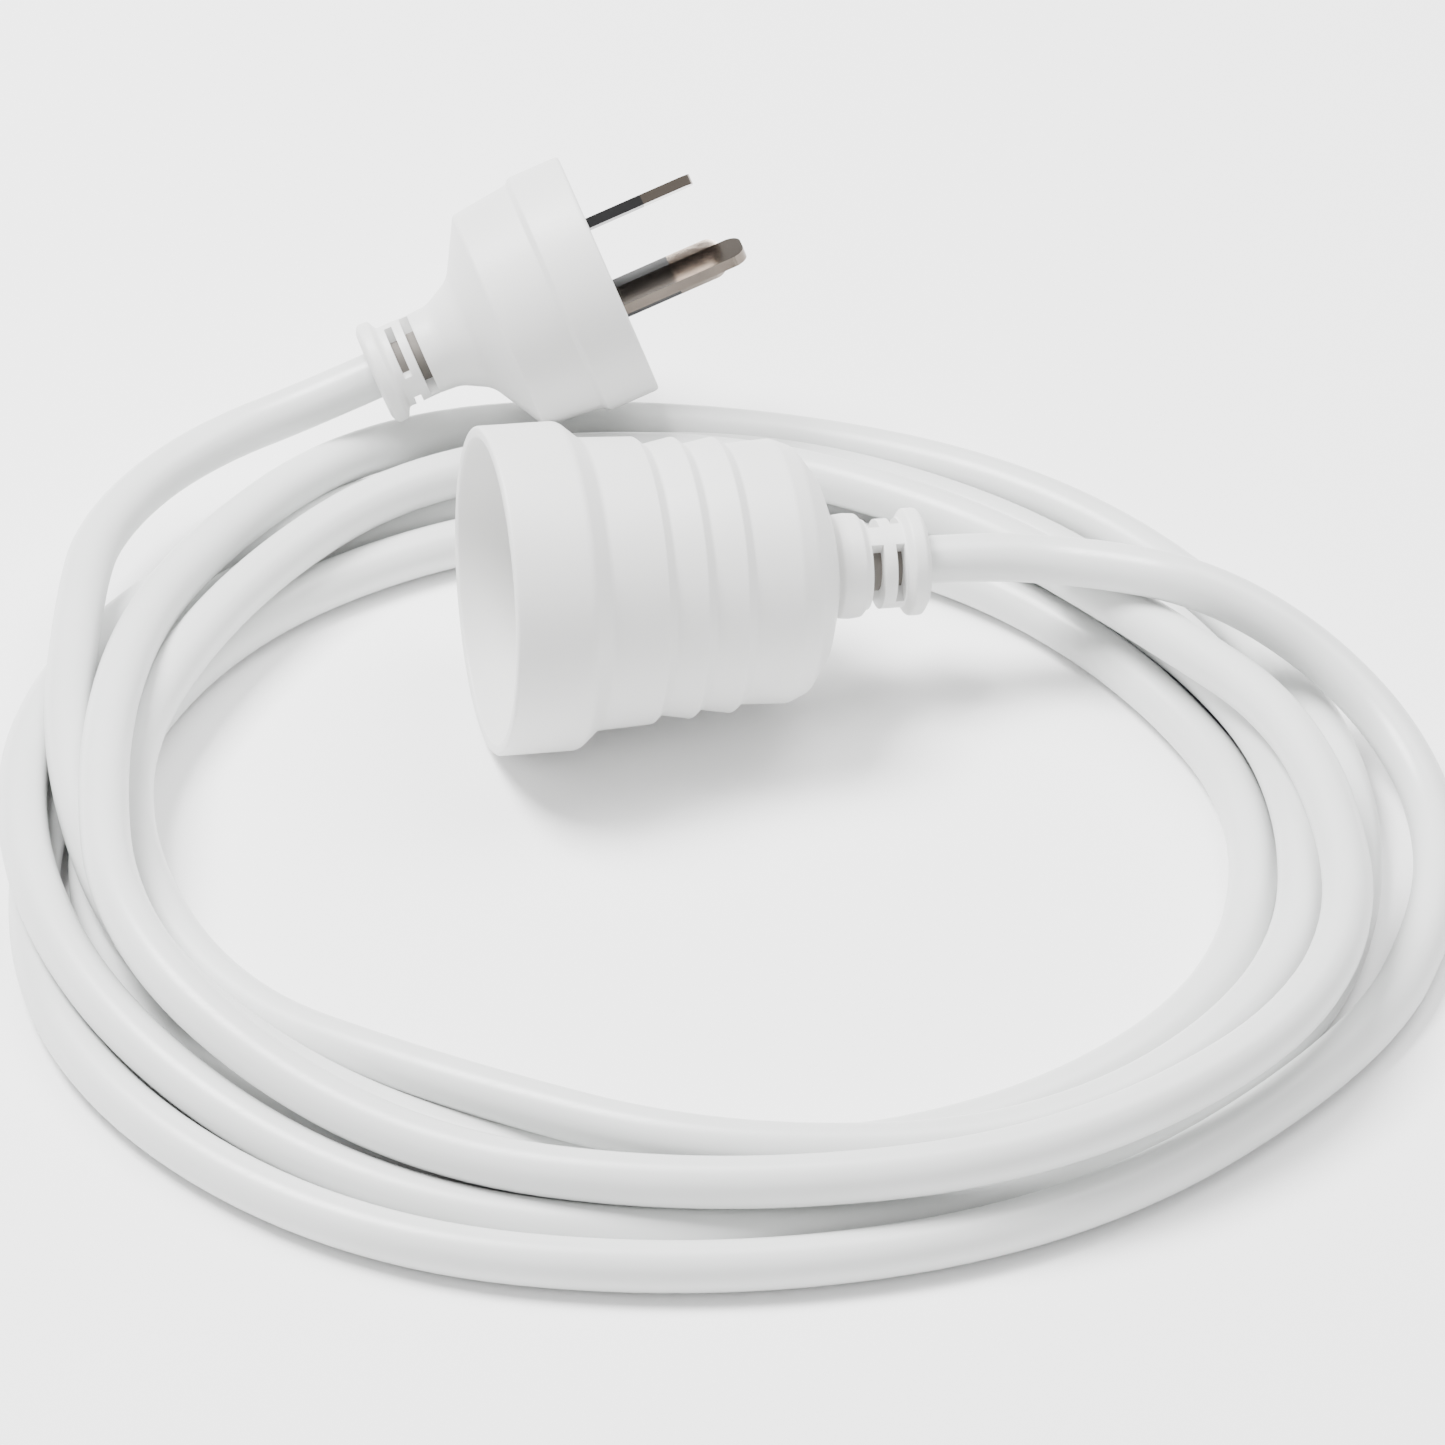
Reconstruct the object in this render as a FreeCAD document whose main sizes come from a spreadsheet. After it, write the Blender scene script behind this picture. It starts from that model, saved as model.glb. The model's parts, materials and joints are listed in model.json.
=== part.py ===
"""Three-pin extension lead: a moulded plug, a shrouded socket and a loose coil of round white flex.

The lead lies on a table. +Z is up, +X is to the right of someone in front of it and the
plug is at the back, over the coil. The origin is under the middle of the whole lead, on the table.

The plug is drawn in its own axes: its pins point along +Z, z = 0 is its flat front face and
the earth pin is at -Y. The socket is drawn in its own axes too: +Z points out of its mouth
and z = 0 is its rim. A Placement then lays each of them down in the lead's axes.
"""

import FreeCAD, Part
import math
import os

from FreeCAD import Placement, Rotation, Vector
import Sketcher

# Driving dimensions in millimetres and degrees, by the alias that each has in the sheet.
SIZES = {
    # Flex: three cores in a round sheath.
    "sheath_radius": 3.6,
    "core_radius": 1.35,
    "core_spread": 2.0,
    "conductor_radius": 0.6,
    # Centre of the coil on the table.
    "ring_x": 0.2,
    "ring_y": -6.4,
    # Plug: where the middle of its face is from the centre of the coil.
    "plug_across": -17.6,
    "plug_back": 97.8,
    "plug_up": 32.0,
    # Plug moulding, depths measured back from its face.
    "flange_radius": 19.2,
    "flange_depth": 8.5,
    "flange_fillet": 0.6,
    "flange_step_radius": 18.8,
    "ridge_radius": 17.4,
    "ridge_depth": 18.1,
    "bell_wide_radius": 12.5,
    "bell_wide_depth": 20.8,
    "bell_middle_radius": 8.4,
    "bell_middle_depth": 23.5,
    "neck_radius": 6.5,
    "neck_depth": 27.0,
    # Plug pins: flat pins of the Australian and New Zealand pattern.
    "pin_width": 6.35,
    "pin_thickness": 1.6,
    "pin_tip_radius": 2.2,
    "pin_length": 17.1,
    "earth_pin_length": 20.0,
    "live_pin_across": 6.86,
    "live_pin_height": 3.96,
    "earth_pin_drop": 10.31,
    "sleeve_length": 9.0,
    "sleeve_root": 1.0,
    "pin_core_width": 5.6,
    "pin_core_thickness": 0.9,
    "pin_core_lap": 10.0,
    "barrel_radius": 1.6,
    "barrel_end": 11.5,
    "crimp_start": 8.0,
    # Plug bridge: the rigid disc that holds the pins inside the moulding.
    "bridge_radius": 14.0,
    "bridge_front": 1.0,
    "bridge_back": 7.0,
    "plug_sheath_start": 25.2,
    "plug_length": 38.7,
    # Plug strain relief, depths measured back from the plug's face.
    "plug_slot_one": 30.5,
    "plug_slot_one_end": 31.9,
    "plug_slot_two": 33.3,
    "plug_slot_two_end": 34.5,
    "plug_waist_radius": 6.4,
    "plug_waist_end": 35.6,
    "plug_end_flange_radius": 8.0,
    "plug_end_flange_start": 36.4,
    "plug_end_chamfer_radius": 6.8,
    # Socket: where the middle of its mouth is from the centre of the coil.
    "socket_across": -34.7,
    "socket_back": 26.0,
    "socket_up": 24.8,
    # Socket moulding, depths measured back from its rim.
    "shroud_radius": 24.0,
    "shroud_bore_radius": 22.1,
    "shroud_bore_depth": 11.5,
    "shroud_depth": 11.0,
    "shoulder_radius": 21.2,
    "shoulder_depth": 15.0,
    "seat_radius": 19.6,
    "seat_depth": 13.5,
    "first_step_depth": 23.5,
    "second_step_depth": 29.4,
    "third_step_depth": 35.4,
    "step_slope": 0.6,
    "end_chamfer": 0.6,
    "first_barrel_radius": 20.9,
    "second_barrel_radius": 20.4,
    "third_barrel_radius": 20.0,
    "last_barrel_radius": 19.6,
    "dome_start_radius": 19.4,
    "dome_start_depth": 44.0,
    "dome_upper_radius": 18.1,
    "dome_upper_depth": 45.5,
    "dome_middle_radius": 14.2,
    "dome_middle_depth": 48.5,
    "dome_lower_radius": 9.7,
    "dome_lower_depth": 50.5,
    "collar_radius": 7.0,
    # Socket inner pieces.
    "face_back": 16.5,
    "slot_width": 7.0,
    "slot_thickness": 2.2,
    "carrier_radius": 16.0,
    "carrier_back": 40.0,
    "chamber_width": 7.4,
    "chamber_thickness": 4.4,
    "contact_front": 17.0,
    "contact_yoke": 32.5,
    "contact_back": 34.0,
    "contact_half_thickness": 1.75,
    "contact_half_gap": 0.95,
    "contact_barrel_end": 39.0,
    "contact_crimp_start": 35.0,
    "socket_sheath_start": 50.5,
    "socket_length": 65.0,
    # Socket strain relief, depths measured back from the rim.
    "root_ring_start": 51.6,
    "root_ring_radius": 7.4,
    "root_ring_end": 55.6,
    "socket_waist_radius": 6.6,
    "socket_slot_one": 56.4,
    "socket_slot_one_end": 58.2,
    "socket_slot_two": 60.0,
    "socket_slot_two_end": 61.3,
    "socket_waist_end": 61.6,
    "socket_end_flange_radius": 7.9,
    "socket_end_flange_start": 62.4,
    "socket_end_chamfer_radius": 6.8,
    # Slots of both strain reliefs.
    "slot_floor_radius": 4.6,
    "slot_reach": 12.0,
    "long_slot_angle": 150.0,
    "short_slot_angle": 82.0,
}

# Axes of the plug and of the socket in the lead's axes.
PLUG_FORWARD = Vector(0.916, 0.239, 0.324)
PLUG_UP = Vector(-0.2015, 0.9675, -0.155)
SOCKET_FORWARD = Vector(-0.976, -0.207, 0.066)
SOCKET_UP = Vector(0.0, 0.0, 1.0)

# Angle about the plug's and the socket's own Z at which the long slots are centred.
PLUG_SLOT_TURN = 240.0
PLUG_SHORT_SLOT_TURN = 220.0
SOCKET_SLOT_TURN = -15.0
SOCKET_SHORT_SLOT_TURN = 15.0

# Bearing of the first live blade seen from the front of a plug, and seen from the front of a socket.
PLUG_BLADE_TURN = 120.0
SOCKET_BLADE_TURN = 60.0
HALF_TURN = 180.0

# Share of a route's shorter run that the arc at a corner takes up.
ARC_REACH = 0.45

# Route of the flex from the plug to the coil, from the centre of the coil on the table.
PLUG_LEAD = [
    Vector(-53.1, 88.6, 19.5),
    Vector(-64.1, 85.7, 15.6),
    Vector(-76.0, 80.5, 13.5),
    Vector(-85.5, 71.0, 13.0),
    Vector(-92.0, 58.5, 13.3),
    Vector(-94.8, 45.0, 14.0),
]

# Route of the flex from the socket to the coil, from the centre of the coil on the table.
SOCKET_LEAD = [
    Vector(28.7, 39.5, 20.5),
    Vector(38.5, 41.6, 19.8),
    Vector(48.5, 41.0, 19.6),
    Vector(57.5, 37.8, 20.6),
]

# Outer shape of the coil, one row each 30 degrees about its centre, from +X towards +Y:
# inner radius, outer radius, radius of the shoulder above the outer turns, height.
COIL_ROWS = [
    (70.5, 104.0, 96.0, 21.0),
    (65.0, 94.0, 80.0, 24.5),
    (65.0, 96.5, 76.0, 14.5),
    (68.0, 100.5, 82.0, 14.4),
    (74.0, 104.5, 87.0, 14.4),
    (80.5, 104.5, 97.0, 17.5),
    (82.0, 104.5, 99.0, 22.0),
    (77.5, 108.5, 98.0, 21.5),
    (73.5, 108.5, 94.0, 15.5),
    (73.5, 103.5, 93.0, 15.0),
    (74.0, 103.0, 97.0, 18.0),
    (75.0, 104.0, 98.0, 20.0),
]
COIL_SECTIONS = 36
COIL_EDGE = 4.0

POLES = ("active", "neutral", "earth")

doc = FreeCAD.newDocument("extension_lead")
sheet = doc.addObject("Spreadsheet::Sheet", "Sizes")


def fill_sheet():
    """Write every driving dimension into the sheet, with its alias."""
    cells = dict(SIZES)
    for index, row in enumerate(COIL_ROWS):
        for name, value in zip(("inner", "outer", "shoulder", "height"), row):
            cells[f"coil_{name}_{index}_rib"] = value
    for line, (alias, value) in enumerate(cells.items(), start=1):
        sheet.set(f"A{line}", alias)
        sheet.set(f"B{line}", str(value))
        sheet.setAlias(f"B{line}", alias)
    doc.recompute()


def value_of(formula):
    """Work out a sum of aliases and numbers, such as "ridge_radius - 0.5"."""
    total = 0.0
    sign = 1.0
    for word in formula.split():
        if word in "+-":
            sign = 1.0 if word == "+" else -1.0
        elif word[0].isdigit():
            total += sign * float(word)
        else:
            total += sign * sheet.get(word)
    return total


def bound(formula):
    """Turn a sum of aliases and numbers into an expression on the sheet."""
    return " ".join(f"Sizes.{word}" if word[0].isalpha() else word for word in formula.split())


def bind(target, field, formula):
    """Set a feature's dimension from the sheet."""
    target.setExpression(field, bound(formula))


def new_body(label, placement):
    """Make an empty body whose label is the node's name."""
    body = doc.addObject("PartDesign::Body", label)
    body.Label = label
    body.Placement = placement
    return body


def new_sketch(body, name, role, offset="0", turn=0.0):
    """Attach a sketch to one of the body's origin planes, raised by offset and turned about its Y."""
    sketch = body.newObject("Sketcher::SketchObject", name)
    plane = [feature for feature in body.Origin.OriginFeatures if feature.Role == role][0]
    sketch.AttachmentSupport = [(plane, "")]
    sketch.MapMode = "FlatFace"
    sketch.AttachmentOffset = Placement(Vector(0, 0, value_of(offset)), Rotation(Vector(0, 1, 0), turn))
    if offset != "0":
        bind(sketch, "AttachmentOffset.Base.z", offset)
    return sketch


def pin_point(sketch, edge, point, axis, formula):
    """Hold one coordinate of a sketch point at a dimension of the sheet."""
    if formula == "0":
        sketch.addConstraint(Sketcher.Constraint("PointOnObject", edge, point, -2 if axis == "X" else -1))
        return
    distance = Sketcher.Constraint(f"Distance{axis}", -1, 1, edge, point, value_of(formula))
    number = sketch.addConstraint(distance)
    sketch.setExpression(f"Constraints[{number}]", bound(formula))


def draw_outline(sketch, corners):
    """Draw a closed outline through corners given as pairs of formulas."""
    places = [Vector(value_of(across), value_of(along), 0) for across, along in corners]
    count = len(places)
    edges = []
    for index, place in enumerate(places):
        edges.append(sketch.addGeometry(Part.LineSegment(place, places[(index + 1) % count]), False))
    for index, edge in enumerate(edges):
        sketch.addConstraint(Sketcher.Constraint("Coincident", edge, 2, edges[(index + 1) % count], 1))
    for edge, (across, along) in zip(edges, corners):
        pin_point(sketch, edge, 1, "X", across)
        pin_point(sketch, edge, 1, "Y", along)


def draw_circle(sketch, radius, centre=(0.0, 0.0)):
    """Draw a circle of a radius from the sheet."""
    middle = Vector(centre[0], centre[1], 0)
    edge = sketch.addGeometry(Part.Circle(middle, Vector(0, 0, 1), value_of(radius)), False)
    number = sketch.addConstraint(Sketcher.Constraint("Radius", edge, value_of(radius)))
    sketch.setExpression(f"Constraints[{number}]", bound(radius))
    for axis, distance in (("X", centre[0]), ("Y", centre[1])):
        if abs(distance) > 1e-6:
            sketch.addConstraint(Sketcher.Constraint(f"Distance{axis}", -1, 1, edge, 3, distance))
        else:
            sketch.addConstraint(Sketcher.Constraint("PointOnObject", edge, 3, -2 if axis == "X" else -1))


def pad(body, sketch, length, midplane=False, down=False):
    """Pad a sketch by a length from the sheet."""
    feature = body.newObject("PartDesign::Pad", f"{sketch.Name}_pad")
    feature.Profile = sketch
    feature.Midplane = midplane
    feature.Reversed = down
    feature.Length = value_of(length)
    bind(feature, "Length", length)
    return feature


def turned(label, placement, corners):
    """Make a round body by turning half of its section about Z."""
    body = new_body(label, placement)
    sketch = new_sketch(body, f"{label}_section", "XZ_Plane")
    draw_outline(sketch, corners)
    turn = body.newObject("PartDesign::Revolution", f"{label}_turned")
    turn.Profile = sketch
    turn.ReferenceAxis = (sketch, ["V_Axis"])
    turn.Angle = 360
    return body


def disc(label, placement, radius, bottom, length):
    """Make a plain disc or rod along Z."""
    body = new_body(label, placement)
    sketch = new_sketch(body, f"{label}_circle", "XY_Plane", bottom)
    draw_circle(sketch, radius)
    pad(body, sketch, length)
    return body


def cut(label, base, tools):
    """Cut pieces out of a solid, so that what is left fits round them."""
    joined = doc.addObject("Part::MultiFuse", f"{label}_tools")
    joined.Shapes = tools
    result = doc.addObject("Part::Cut", label)
    result.Label = label
    result.Base = base
    result.Tool = joined if len(tools) > 1 else tools[0]
    if len(tools) == 1:
        doc.removeObject(joined.Name)
    return result


def laid(across, back, up, forward, upright):
    """Placement of the plug or socket from its place in the coil and two of its axes."""
    place = Vector(value_of("ring_x + " + across), value_of("ring_y + " + back), value_of(up))
    return Placement(place, Rotation(Vector(), upright, forward, "ZYX"))


def pole_places(mirrored):
    """Place and turn of each pole about the Z axis, looked at from in front of the face."""
    across = value_of("live_pin_across") * (-1 if mirrored else 1)
    height = value_of("live_pin_height")
    drop = value_of("earth_pin_drop")
    live_turn = SOCKET_BLADE_TURN if mirrored else PLUG_BLADE_TURN
    return {
        "active": (Vector(across, height, 0), live_turn),
        "neutral": (Vector(-across, height, 0), HALF_TURN - live_turn),
        "earth": (Vector(0, -drop, 0), 90.0),
    }


def inner_place(place):
    """Where a pole's core runs inside the sheath, on the side of its own pin."""
    return Vector(place).normalize() * value_of("core_spread")


def core_run(label, placement, radius, start, place, first, straight, far):
    """Make a round wire that leaves a terminal, slants to its place in the sheath and runs on."""
    body = new_body(label, placement)
    inside = inner_place(place)
    if first != start:
        entry = new_sketch(body, f"{label}_entry", "XY_Plane", "0 - " + first)
        draw_circle(entry, radius, (place.x, place.y))
        pad(body, entry, f"{start} - {first}", down=True)
    upper = new_sketch(body, f"{label}_upper", "XY_Plane", "0 - " + start)
    draw_circle(upper, radius, (place.x, place.y))
    lower = new_sketch(body, f"{label}_lower", "XY_Plane", "0 - " + straight)
    draw_circle(lower, radius, (inside.x, inside.y))
    slant = body.newObject("PartDesign::AdditiveLoft", f"{label}_slant")
    slant.Profile = upper
    slant.Sections = [lower]
    slant.Ruled = True
    tail = new_sketch(body, f"{label}_tail", "XY_Plane", "0 - " + straight)
    draw_circle(tail, radius, (inside.x, inside.y))
    pad(body, tail, f"{far} - {straight}", down=True)
    return body


def flex_end(side, placement, places, start, crimp, straight, far):
    """Make the stripped end of the flex: three conductors, three cores and the end of the sheath."""
    cores = []
    nodes = []
    for pole in POLES:
        place = places[pole][0]
        wire = core_run(f"{side}_{pole}_conductor", placement, "conductor_radius",
                        start, place, crimp, straight, far)
        blank = core_run(f"{side}_{pole}_core_blank", placement, "core_radius",
                         start, place, start, straight, far)
        nodes.append(wire)
        nodes.append(cut(f"{side}_{pole}_core", blank, [wire]))
        cores.append(blank)
    sheath = disc(f"{side}_sheath_blank", placement, "sheath_radius", "0 - " + far, f"{far} - {straight}")
    nodes.append(cut(f"{side}_sheath_end", sheath, cores))
    return nodes, cores, sheath


def slot_row(body, name, start, end, centre, angle, count):
    """Cut a row of slots round a strain relief, leaving solid ribs between them."""
    sketch = new_sketch(body, f"{name}_section", "XZ_Plane", "0", centre)
    draw_outline(sketch, [
        ("slot_floor_radius", "0 - " + start),
        ("slot_reach", "0 - " + start),
        ("slot_reach", "0 - " + end),
        ("slot_floor_radius", "0 - " + end),
    ])
    groove = body.newObject("PartDesign::Groove", f"{name}_groove")
    groove.Profile = sketch
    groove.ReferenceAxis = (sketch, ["V_Axis"])
    groove.Midplane = True
    groove.Angle = value_of(angle)
    bind(groove, "Angle", angle)
    pattern = body.newObject("PartDesign::PolarPattern", f"{name}_row")
    pattern.Originals = [groove]
    pattern.Axis = (sketch, ["V_Axis"])
    pattern.Angle = 360
    pattern.Occurrences = count
    body.Tip = pattern


def edges_where(shape, test):
    """Names of the edges of a shape that pass a test."""
    return [f"Edge{index}" for index, edge in enumerate(shape.Edges, start=1) if test(edge)]


def round_edges(body, name, radius, test):
    """Fillet the edges of a body's last feature that pass a test."""
    doc.recompute()
    base = body.Tip
    feature = body.newObject("PartDesign::Fillet", name)
    feature.Base = (base, edges_where(base.Shape, test))
    feature.Radius = value_of(radius)
    bind(feature, "Radius", radius)
    return feature


def blade(body, name, width, thickness, bottom, top):
    """Add a flat blade to a body, standing along Z and centred on it."""
    sketch = new_sketch(body, name, "XZ_Plane")
    half = value_of(width) / 2
    low = value_of(bottom)
    high = value_of(top)
    places = [Vector(-half, low, 0), Vector(half, low, 0), Vector(half, high, 0), Vector(-half, high, 0)]
    edges = []
    for index, place in enumerate(places):
        edges.append(sketch.addGeometry(Part.LineSegment(place, places[(index + 1) % 4]), False))
    for index in range(4):
        sketch.addConstraint(Sketcher.Constraint("Coincident", edges[index], 2, edges[(index + 1) % 4], 1))
    sketch.addConstraint(Sketcher.Constraint("Horizontal", edges[2]))
    sketch.addConstraint(Sketcher.Constraint("Vertical", edges[1]))
    sketch.addConstraint(Sketcher.Constraint("Vertical", edges[3]))
    sketch.addConstraint(Sketcher.Constraint("Symmetric", edges[0], 1, edges[0], 2, -2))
    across = sketch.addConstraint(Sketcher.Constraint("DistanceX", edges[0], 1, edges[0], 2, 2 * half))
    sketch.setExpression(f"Constraints[{across}]", bound(width))
    pin_point(sketch, edges[0], 1, "Y", bottom)
    pin_point(sketch, edges[2], 1, "Y", top)
    return pad(body, sketch, thickness, midplane=True)


def make_pin(pole, placement, length):
    """Make one flat pin with its rounded tip and the crimp barrel behind it."""
    body = new_body(f"plug_{pole}_pin_blank", placement)
    if pole == "earth":
        blade(body, f"{pole}_pin_blade", "pin_width", "pin_thickness", "0 - bridge_back", length)
    else:
        blade(body, f"{pole}_pin_neck", "pin_core_width", "pin_core_thickness", "0 - bridge_back",
              "pin_core_lap")
        blade(body, f"{pole}_pin_blade", "pin_width", "pin_thickness", "sleeve_length", length)
    tip = value_of(length)
    round_edges(body, f"{pole}_pin_tip", "pin_tip_radius", lambda edge: (
        abs(edge.CenterOfMass.z - tip) < 0.01
        and abs(abs(edge.CenterOfMass.x) - value_of("pin_width") / 2) < 0.01))
    barrel = new_sketch(body, f"{pole}_pin_barrel", "XY_Plane", "0 - bridge_back")
    draw_circle(barrel, "barrel_radius")
    pad(body, barrel, "barrel_end - bridge_back", down=True)
    return body


def make_sleeve(pole, placement):
    """Make the insulating sleeve that is flush with the blade of a live pin."""
    body = new_body(f"plug_{pole}_sleeve_blank", placement)
    blade(body, f"{pole}_sleeve_outline", "pin_width", "pin_thickness", "0 - sleeve_root", "sleeve_length")
    return body


def make_strain_relief(label, placement, corners):
    """Make the ribbed sleeve that grips the flex behind a moulding."""
    bore = [("sheath_radius", corners[-1][1]), ("sheath_radius", corners[0][1])]
    return turned(label, placement, corners + bore)


def make_plug():
    """Make the plug: moulding, strain relief, bridge, pins, sleeves and the end of the flex."""
    placement = laid("plug_across", "plug_back", "plug_up", PLUG_FORWARD, PLUG_UP)
    places = pole_places(mirrored=False)
    ends, cores, sheath = flex_end("plug", placement, places, "barrel_end", "crimp_start",
                                   "plug_sheath_start", "plug_length")
    nodes = list(ends)
    pins = []
    sleeves = []
    for pole in POLES:
        place, turn = places[pole]
        frame = placement * Placement(place, Rotation(Vector(0, 0, 1), turn))
        length = "earth_pin_length" if pole == "earth" else "pin_length"
        pin = make_pin(pole, frame, length)
        pins.append(pin)
        nodes.append(cut(f"plug_{pole}_pin", pin, [doc.getObject(f"plug_{pole}_conductor")]))
        if pole != "earth":
            sleeve = make_sleeve(pole, frame)
            sleeves.append(sleeve)
            nodes.append(cut(f"plug_{pole}_sleeve", sleeve, [pin]))
    bridge = disc("plug_bridge_blank", placement, "bridge_radius", "0 - bridge_back",
                  "bridge_back - bridge_front")
    nodes.append(cut("plug_bridge", bridge, pins))
    blank = turned("plug_moulding_blank", placement, [
        ("0", "0"),
        ("flange_radius", "0"),
        ("flange_radius", "0 - flange_depth"),
        ("flange_step_radius", "0 - flange_depth"),
        ("ridge_radius", "0 - ridge_depth"),
        ("bell_wide_radius", "0 - bell_wide_depth"),
        ("bell_middle_radius", "0 - bell_middle_depth"),
        ("neck_radius", "0 - neck_depth"),
        ("0", "0 - neck_depth"),
    ])
    round_edges(blank, "plug_flange_edge", "flange_fillet", lambda edge: (
        abs(edge.BoundBox.XLength - 2 * value_of("flange_radius")) < 0.01 and edge.BoundBox.ZLength < 0.01
        and abs(edge.BoundBox.ZMax) < 0.01))
    nodes.append(cut("plug_moulding", blank, [bridge] + pins + sleeves + cores + [sheath]))
    relief = make_strain_relief("plug_strain_relief", placement, [
        ("neck_radius", "0 - neck_depth"),
        ("plug_waist_radius", "0 - plug_slot_one"),
        ("plug_waist_radius", "0 - plug_waist_end"),
        ("plug_end_flange_radius", "0 - plug_end_flange_start"),
        ("plug_end_flange_radius", "0 - plug_length + end_chamfer"),
        ("plug_end_chamfer_radius", "0 - plug_length"),
    ])
    slot_row(relief, "plug_long_slots", "plug_slot_one", "plug_slot_one_end",
             PLUG_SLOT_TURN, "long_slot_angle", 2)
    slot_row(relief, "plug_short_slots", "plug_slot_two", "plug_slot_two_end",
             PLUG_SHORT_SLOT_TURN, "short_slot_angle", 3)
    nodes.append(relief)
    return nodes


def pole_box(label, placement, width, thickness, bottom, length):
    """Make a box centred on a pole, for a slot or a contact chamber."""
    box = doc.addObject("Part::Box", label)
    box.Label = label
    bind(box, "Length", width)
    bind(box, "Width", thickness)
    bind(box, "Height", length)
    corner = Vector(-value_of(width) / 2, -value_of(thickness) / 2, value_of(bottom))
    box.Placement = placement * Placement(corner, Rotation())
    return box


def make_contact(pole, placement):
    """Make one folded spring contact: two leaves, a yoke and a crimp barrel."""
    body = new_body(f"socket_{pole}_contact_blank", placement)
    fork = new_sketch(body, f"{pole}_contact_fork", "YZ_Plane")
    outer = "contact_half_thickness"
    inner = "contact_half_gap"
    draw_outline(fork, [
        ("0 - " + outer, "0 - contact_back"),
        (outer, "0 - contact_back"),
        (outer, "0 - contact_front"),
        (inner, "0 - contact_front"),
        (inner, "0 - contact_yoke"),
        ("0 - " + inner, "0 - contact_yoke"),
        ("0 - " + inner, "0 - contact_front"),
        ("0 - " + outer, "0 - contact_front"),
    ])
    pad(body, fork, "chamber_width", midplane=True)
    barrel = new_sketch(body, f"{pole}_contact_barrel", "XY_Plane", "0 - contact_back")
    draw_circle(barrel, "barrel_radius")
    pad(body, barrel, "contact_barrel_end - contact_back", down=True)
    return body


def make_socket():
    """Make the socket: moulding, strain relief, face, carrier, contacts and the end of the flex."""
    placement = laid("socket_across", "socket_back", "socket_up", SOCKET_FORWARD, SOCKET_UP)
    places = pole_places(mirrored=True)
    ends, cores, sheath = flex_end("socket", placement, places, "carrier_back", "contact_crimp_start",
                                   "socket_sheath_start", "socket_length")
    nodes = list(ends)
    slots = []
    chambers = []
    for pole in POLES:
        place, turn = places[pole]
        frame = placement * Placement(place, Rotation(Vector(0, 0, 1), turn))
        slots.append(pole_box(f"socket_{pole}_slot", frame, "slot_width", "slot_thickness",
                              "0 - face_back", "face_back - seat_depth"))
        chambers.append(pole_box(f"socket_{pole}_chamber", frame, "chamber_width", "chamber_thickness",
                                 "0 - carrier_back", "carrier_back - face_back"))
        contact = make_contact(pole, frame)
        nodes.append(cut(f"socket_{pole}_contact", contact, [doc.getObject(f"socket_{pole}_conductor")]))
    face = disc("socket_face_blank", placement, "seat_radius", "0 - face_back", "face_back - seat_depth")
    nodes.append(cut("socket_face_insert", face, slots))
    carrier = disc("socket_carrier_blank", placement, "carrier_radius", "0 - carrier_back",
                   "carrier_back - face_back")
    nodes.append(cut("socket_contact_carrier", carrier, chambers))
    blank = turned("socket_moulding_blank", placement, [
        ("shroud_bore_radius", "0"),
        ("shroud_radius", "0"),
        ("shroud_radius", "0 - shroud_depth"),
        ("shoulder_radius", "0 - shoulder_depth"),
        ("first_barrel_radius", "0 - first_step_depth"),
        ("second_barrel_radius", "0 - first_step_depth - step_slope"),
        ("second_barrel_radius", "0 - second_step_depth"),
        ("third_barrel_radius", "0 - second_step_depth - step_slope"),
        ("third_barrel_radius", "0 - third_step_depth"),
        ("last_barrel_radius", "0 - third_step_depth - step_slope"),
        ("dome_start_radius", "0 - dome_start_depth"),
        ("dome_upper_radius", "0 - dome_upper_depth"),
        ("dome_middle_radius", "0 - dome_middle_depth"),
        ("dome_lower_radius", "0 - dome_lower_depth"),
        ("0", "0 - dome_lower_depth"),
        ("0", "0 - seat_depth"),
        ("seat_radius", "0 - seat_depth"),
        ("shroud_bore_radius", "0 - shroud_bore_depth"),
    ])
    nodes.append(cut("socket_moulding", blank, [face, carrier] + cores))
    relief = make_strain_relief("socket_strain_relief", placement, [
        ("collar_radius", "0 - socket_sheath_start"),
        ("collar_radius", "0 - root_ring_start"),
        ("root_ring_radius", "0 - root_ring_start - end_chamfer"),
        ("root_ring_radius", "0 - root_ring_end"),
        ("socket_waist_radius", "0 - socket_slot_one"),
        ("socket_waist_radius", "0 - socket_waist_end"),
        ("socket_end_flange_radius", "0 - socket_end_flange_start"),
        ("socket_end_flange_radius", "0 - socket_length + end_chamfer"),
        ("socket_end_chamfer_radius", "0 - socket_length"),
    ])
    slot_row(relief, "socket_long_slots", "socket_slot_one", "socket_slot_one_end",
             SOCKET_SLOT_TURN, "long_slot_angle", 2)
    slot_row(relief, "socket_short_slots", "socket_slot_two", "socket_slot_two_end",
             SOCKET_SHORT_SLOT_TURN, "short_slot_angle", 3)
    nodes.append(relief)
    return nodes


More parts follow.
